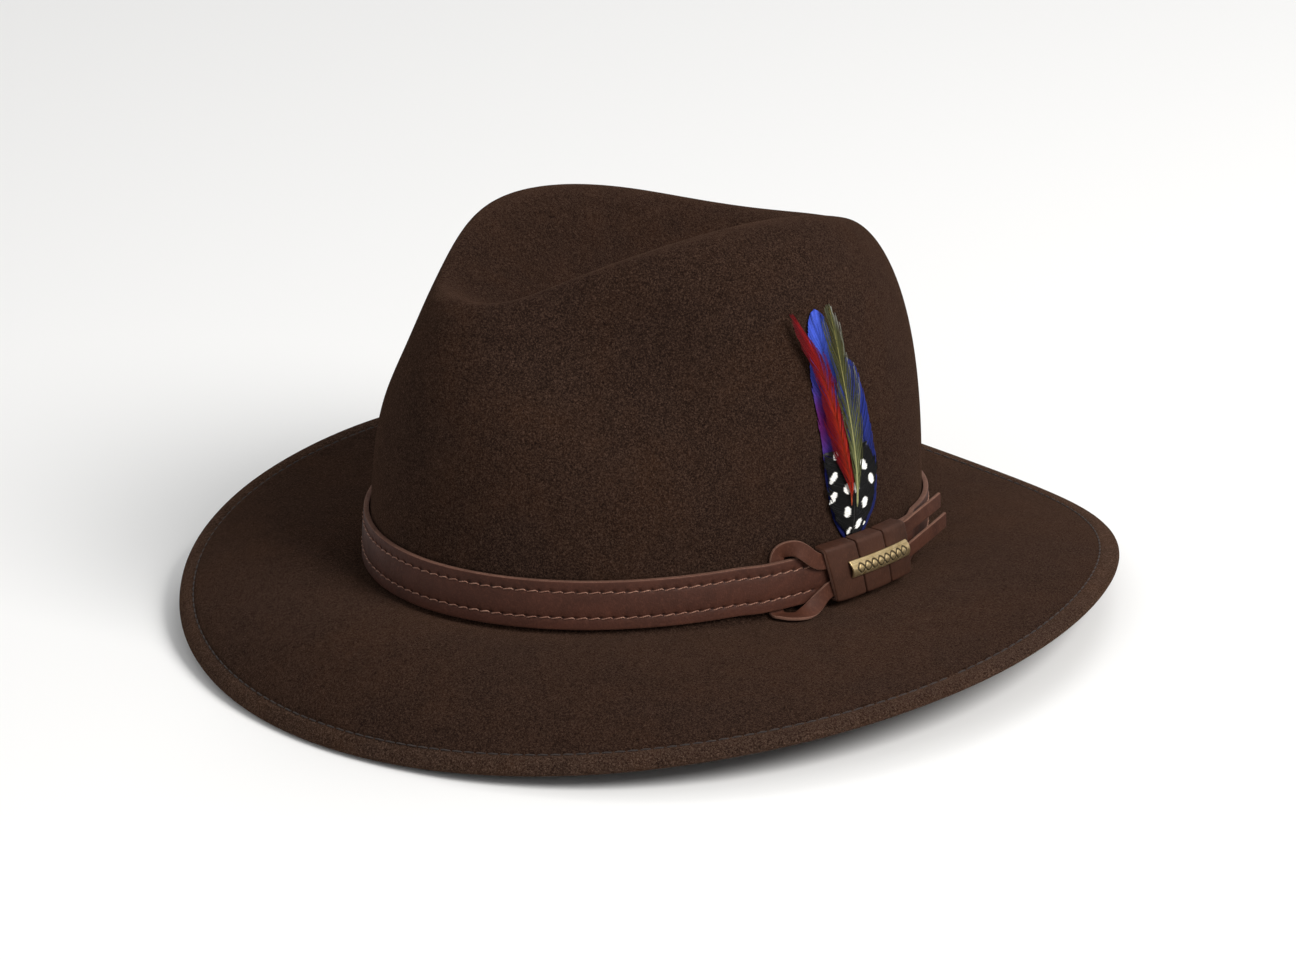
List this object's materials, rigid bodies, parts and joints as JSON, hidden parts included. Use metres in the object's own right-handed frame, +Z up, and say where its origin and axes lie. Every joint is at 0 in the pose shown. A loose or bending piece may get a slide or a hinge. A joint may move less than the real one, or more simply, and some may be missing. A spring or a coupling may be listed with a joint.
{
  "type": "fedora hat",
  "caption": "Felt fedora with a creased, pinched crown, a turned-down brim, a stitched leather band with keeper and metal badge, and a feather bunch that slides out.",
  "frame": {"origin": "on the surface the hat stands on, below the middle of its box", "axes": "+Z up, the wearer faces -Y, the wearer's left is +X"},
  "size_m": [0.3328, 0.3328, 0.1492],
  "materials": {
    "felt": "napped wool felt, matt",
    "felt_thread": "matt sewing thread",
    "band_leather": "smooth leather, low sheen",
    "band_thread": "waxed thread",
    "lace_leather": "cut leather lace",
    "keeper_leather": "smooth leather, low sheen",
    "badge_brass": "antique, rubbed bright on the high places",
    "feather_blue": "dyed feather vane",
    "feather_guinea": "black vane with white spots",
    "feather_red": "dyed hackle",
    "feather_olive": "natural hackle",
    "quill": "bare quill",
    "binding_thread": "thread",
    "sweat_leather": "thin smooth leather",
    "reed": "matt",
    "sweat_thread": "thread",
    "ribbon": "woven ribbon",
    "label_cloth": "woven tape",
    "lining_satin": "satin"
  },
  "bodies": {
    "hat": {"felt_body": "felt", "brim_edge_stitching": "felt_thread", "hat_band": "band_leather", "hat_band_stitching": "band_thread", "band_lace": "lace_leather", "keeper_wrap": "keeper_leather", "badge_plate": "badge_brass", "badge_prongs": "badge_brass", "sweatband": "sweat_leather", "sweatband_reed": "reed", "sweatband_stitching": "sweat_thread", "sweatband_bow": "ribbon", "size_label": "label_cloth", "lining_side": "lining_satin", "lining_tip": "lining_satin"},
    "feathers": {"feather_blue_back": "feather_blue", "feather_blue_side": "feather_blue", "feather_guinea": "feather_guinea", "feather_red": "feather_red", "feather_olive": "feather_olive", "feather_mount": "quill", "feather_binding": "binding_thread"}
  },
  "joints": [
    {"name": "feather_slide", "type": "slide", "parent": "hat", "child": "feathers", "axis": [-0.055, 0.1259, 0.9905], "range_m": [0, 0.02]}
  ]
}
